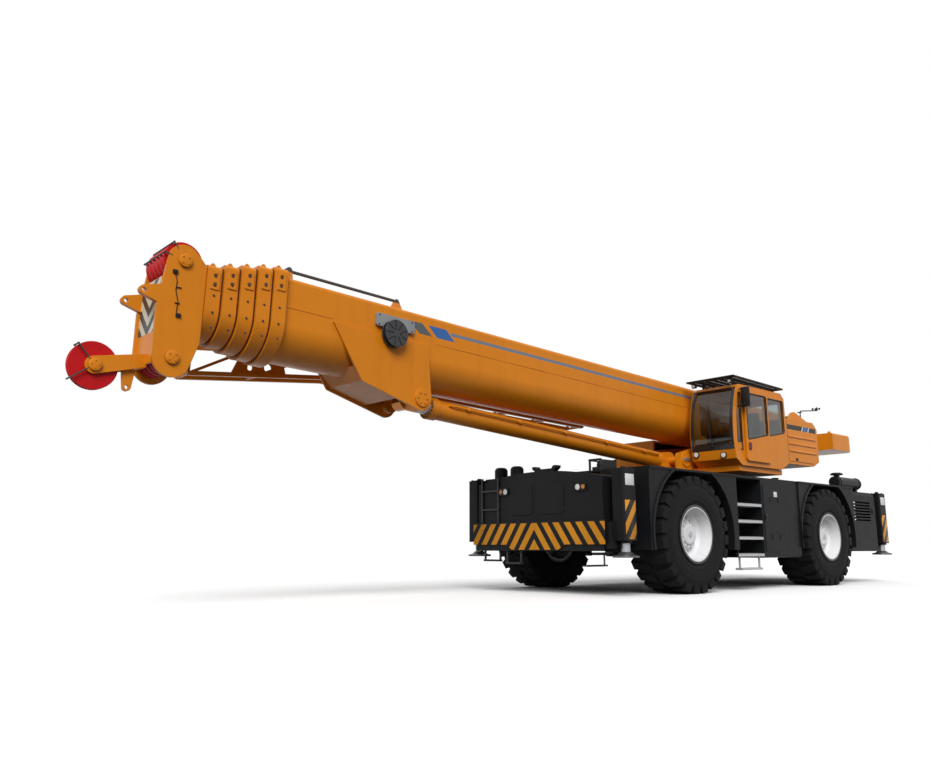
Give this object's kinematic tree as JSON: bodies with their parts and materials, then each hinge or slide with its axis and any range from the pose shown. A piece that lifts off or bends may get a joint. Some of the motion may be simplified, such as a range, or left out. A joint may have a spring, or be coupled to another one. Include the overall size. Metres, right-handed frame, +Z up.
{
  "type": "rough-terrain crane",
  "caption": "Rough-terrain mobile crane: short heavy carrier on large steered wheels, slewing upper with side cab and counterweight, long telescopic boom, lattice jib and sliding outriggers.",
  "frame": {"origin": "middle of the machine's length and width, on the ground under the tyres", "axes": "+X forward along the carrier, +Y to the machine's left, +Z up"},
  "size_m": [17.7731, 3.86, 4.4807],
  "materials": {
    "orange_paint": "gloss",
    "dark_paint": "semi-gloss",
    "white_paint": "gloss",
    "red_paint": "gloss",
    "step_steel": "brushed",
    "rod_chrome": "polished",
    "tyre": "matt",
    "axle_iron": "painted",
    "cab_glass": "tinted",
    "seat": "woven",
    "lamp": "clear",
    "black_plastic": "matt"
  },
  "bodies": {
    "chassis": {"carrier_frame": "dark_paint", "outrigger_boxes": "dark_paint", "mudguards": "dark_paint", "side_tanks": "dark_paint", "access_steps": "step_steel", "front_housing": "dark_paint", "engine_hood": "dark_paint", "engine": "axle_iron", "air_intake": "black_plastic", "axle_housings": "axle_iron", "carrier_lamps": "lamp", "deck_fittings": "black_plastic"},
    "upper": {"turntable": "orange_paint", "cab_shell": "orange_paint", "cab_glass": "cab_glass", "operator_station": "seat", "roof_guard": "dark_paint", "side_housings": "orange_paint", "counterweight": "orange_paint", "winch_frame": "orange_paint"},
    "cab_door": {"cab_door": "orange_paint", "door_glass": "cab_glass"},
    "main_drum": {"main_drum": "orange_paint"},
    "aux_drum": {"aux_drum": "orange_paint"},
    "boom": {"boom_base": "orange_paint", "jib_lattice": "orange_paint", "boom_fittings": "orange_paint"},
    "lift_barrel": {"lift_barrel": "orange_paint"},
    "lift_rod": {"lift_rod": "rod_chrome"},
    "head_sheaves": {"head_sheaves": "red_paint"},
    "lower_sheaves": {"lower_sheaves": "red_paint"},
    "nose_sheave": {"nose_sheave": "red_paint"},
    "boom_section_2": {"boom_section_2": "orange_paint"},
    "boom_section_3": {"boom_section_3": "orange_paint"},
    "boom_section_4": {"boom_section_4": "orange_paint"},
    "boom_section_5": {"boom_section_5": "orange_paint"},
    "boom_section_6": {"boom_section_6": "orange_paint", "boom_head": "orange_paint"},
    "knuckle_front_left": {"knuckle_front_left": "axle_iron"},
    "wheel_front_left": {"tyre_front_left": "tyre", "rim_front_left": "white_paint"},
    "beam_front_left": {"outrigger_beam_front_left": "dark_paint"},
    "jack_front_left": {"outrigger_jack_front_left": "dark_paint"},
    "knuckle_front_right": {"knuckle_front_right": "axle_iron"},
    "wheel_front_right": {"tyre_front_right": "tyre", "rim_front_right": "white_paint"},
    "beam_front_right": {"outrigger_beam_front_right": "dark_paint"},
    "jack_front_right": {"outrigger_jack_front_right": "dark_paint"},
    "knuckle_rear_left": {"knuckle_rear_left": "axle_iron"},
    "wheel_rear_left": {"tyre_rear_left": "tyre", "rim_rear_left": "white_paint"},
    "beam_rear_left": {"outrigger_beam_rear_left": "dark_paint"},
    "jack_rear_left": {"outrigger_jack_rear_left": "dark_paint"},
    "knuckle_rear_right": {"knuckle_rear_right": "axle_iron"},
    "wheel_rear_right": {"tyre_rear_right": "tyre", "rim_rear_right": "white_paint"},
    "beam_rear_right": {"outrigger_beam_rear_right": "dark_paint"},
    "jack_rear_right": {"outrigger_jack_rear_right": "dark_paint"}
  },
  "joints": [
    {"name": "steer_front_left", "type": "hinge", "parent": "chassis", "child": "knuckle_front_left", "pos_m": [-0.69664, 1.3, 0.975], "axis": [0, 0, 1], "range_deg": [-20, 20]},
    {"name": "roll_front_left", "type": "hinge", "parent": "knuckle_front_left", "child": "wheel_front_left", "pos_m": [-0.69664, 1.55, 0.975], "axis": [0, 1, 0], "continuous": true},
    {"name": "steer_front_right", "type": "hinge", "parent": "chassis", "child": "knuckle_front_right", "pos_m": [-0.69664, -1.3, 0.975], "axis": [0, 0, 1], "range_deg": [-20, 20]},
    {"name": "roll_front_right", "type": "hinge", "parent": "knuckle_front_right", "child": "wheel_front_right", "pos_m": [-0.69664, -1.55, 0.975], "axis": [0, 1, 0], "continuous": true},
    {"name": "steer_rear_left", "type": "hinge", "parent": "chassis", "child": "knuckle_rear_left", "pos_m": [-5.52665, 1.3, 0.975], "axis": [0, 0, -1], "range_deg": [-20, 20]},
    {"name": "roll_rear_left", "type": "hinge", "parent": "knuckle_rear_left", "child": "wheel_rear_left", "pos_m": [-5.52665, 1.55, 0.975], "axis": [0, 1, 0], "continuous": true},
    {"name": "steer_rear_right", "type": "hinge", "parent": "chassis", "child": "knuckle_rear_right", "pos_m": [-5.52665, -1.3, 0.975], "axis": [0, 0, -1], "range_deg": [-20, 20]},
    {"name": "roll_rear_right", "type": "hinge", "parent": "knuckle_rear_right", "child": "wheel_rear_right", "pos_m": [-5.52665, -1.55, 0.975], "axis": [0, 1, 0], "continuous": true},
    {"name": "beam_front_left", "type": "slide", "parent": "chassis", "child": "beam_front_left", "axis": [0, 1, 0], "range_m": [0, 2.2]},
    {"name": "jack_front_left", "type": "slide", "parent": "beam_front_left", "child": "jack_front_left", "axis": [0, 0, -1], "range_m": [0, 0.85]},
    {"name": "beam_front_right", "type": "slide", "parent": "chassis", "child": "beam_front_right", "axis": [0, -1, 0], "range_m": [0, 2.2]},
    {"name": "jack_front_right", "type": "slide", "parent": "beam_front_right", "child": "jack_front_right", "axis": [0, 0, -1], "range_m": [0, 0.85]},
    {"name": "beam_rear_left", "type": "slide", "parent": "chassis", "child": "beam_rear_left", "axis": [0, 1, 0], "range_m": [0, 2.2]},
    {"name": "jack_rear_left", "type": "slide", "parent": "beam_rear_left", "child": "jack_rear_left", "axis": [0, 0, -1], "range_m": [0, 0.85]},
    {"name": "beam_rear_right", "type": "slide", "parent": "chassis", "child": "beam_rear_right", "axis": [0, -1, 0], "range_m": [0, 2.2]},
    {"name": "jack_rear_right", "type": "slide", "parent": "beam_rear_right", "child": "jack_rear_right", "axis": [0, 0, -1], "range_m": [0, 0.85]},
    {"name": "slew", "type": "hinge", "parent": "chassis", "child": "upper", "pos_m": [-3.44665, 0, 2.075], "axis": [0, 0, 1], "continuous": true},
    {"name": "luff", "type": "hinge", "parent": "upper", "child": "boom", "pos_m": [-6.39665, 0, 3.25], "axis": [0, -1, 0], "range_deg": [0, 78]},
    {"name": "lift_tilt", "type": "hinge", "parent": "upper", "child": "lift_barrel", "pos_m": [-2.59665, 0, 2.47], "axis": [0, -1, 0], "range_deg": [-0.01, 92.92]},
    {"name": "lift_stroke", "type": "slide", "parent": "lift_barrel", "child": "lift_rod", "axis": [0.9977, 0, 0.0674], "range_m": [-0.001, 4.3456]},
    {"name": "telescope_2", "type": "slide", "parent": "boom", "child": "boom_section_2", "axis": [0.9994, 0, 0.0354], "range_m": [0, 9.4]},
    {"name": "telescope_3", "type": "slide", "parent": "boom_section_2", "child": "boom_section_3", "axis": [0.9994, 0, 0.0354], "range_m": [0, 9.4]},
    {"name": "telescope_4", "type": "slide", "parent": "boom_section_3", "child": "boom_section_4", "axis": [0.9994, 0, 0.0354], "range_m": [0, 9.4]},
    {"name": "telescope_5", "type": "slide", "parent": "boom_section_4", "child": "boom_section_5", "axis": [0.9994, 0, 0.0354], "range_m": [0, 9.4]},
    {"name": "telescope_6", "type": "slide", "parent": "boom_section_5", "child": "boom_section_6", "axis": [0.9994, 0, 0.0354], "range_m": [0, 9.4]},
    {"name": "turn_head_sheaves", "type": "hinge", "parent": "boom_section_6", "child": "head_sheaves", "pos_m": [7.72148, 0, 4.23072], "axis": [0, 1, 0], "continuous": true},
    {"name": "turn_lower_sheaves", "type": "hinge", "parent": "boom_section_6", "child": "lower_sheaves", "pos_m": [7.80537, 0, 2.99291], "axis": [0, 1, 0], "continuous": true},
    {"name": "turn_nose_sheave", "type": "hinge", "parent": "boom_section_6", "child": "nose_sheave", "pos_m": [8.60164, 0, 2.83002], "axis": [0, 1, 0], "continuous": true},
    {"name": "turn_main_drum", "type": "hinge", "parent": "upper", "child": "main_drum", "pos_m": [-7.45664, 0, 3.65], "axis": [0, 1, 0], "continuous": true},
    {"name": "turn_aux_drum", "type": "hinge", "parent": "upper", "child": "aux_drum", "pos_m": [-7.97164, 0, 3.61], "axis": [0, 1, 0], "continuous": true},
    {"name": "door_slide", "type": "slide", "parent": "upper", "child": "cab_door", "axis": [-1, 0, 0], "range_m": [0, 0.72]}
  ],
  "couplings": [
    {"joint": "steer_front_right", "follows": "steer_front_left", "ratio": 1},
    {"joint": "steer_rear_right", "follows": "steer_rear_left", "ratio": 1},
    {"joint": "lift_tilt", "follows": "luff", "ratio": 1.1912},
    {"joint": "lift_stroke", "follows": "luff", "m_per_rad": 3.1914}
  ]
}
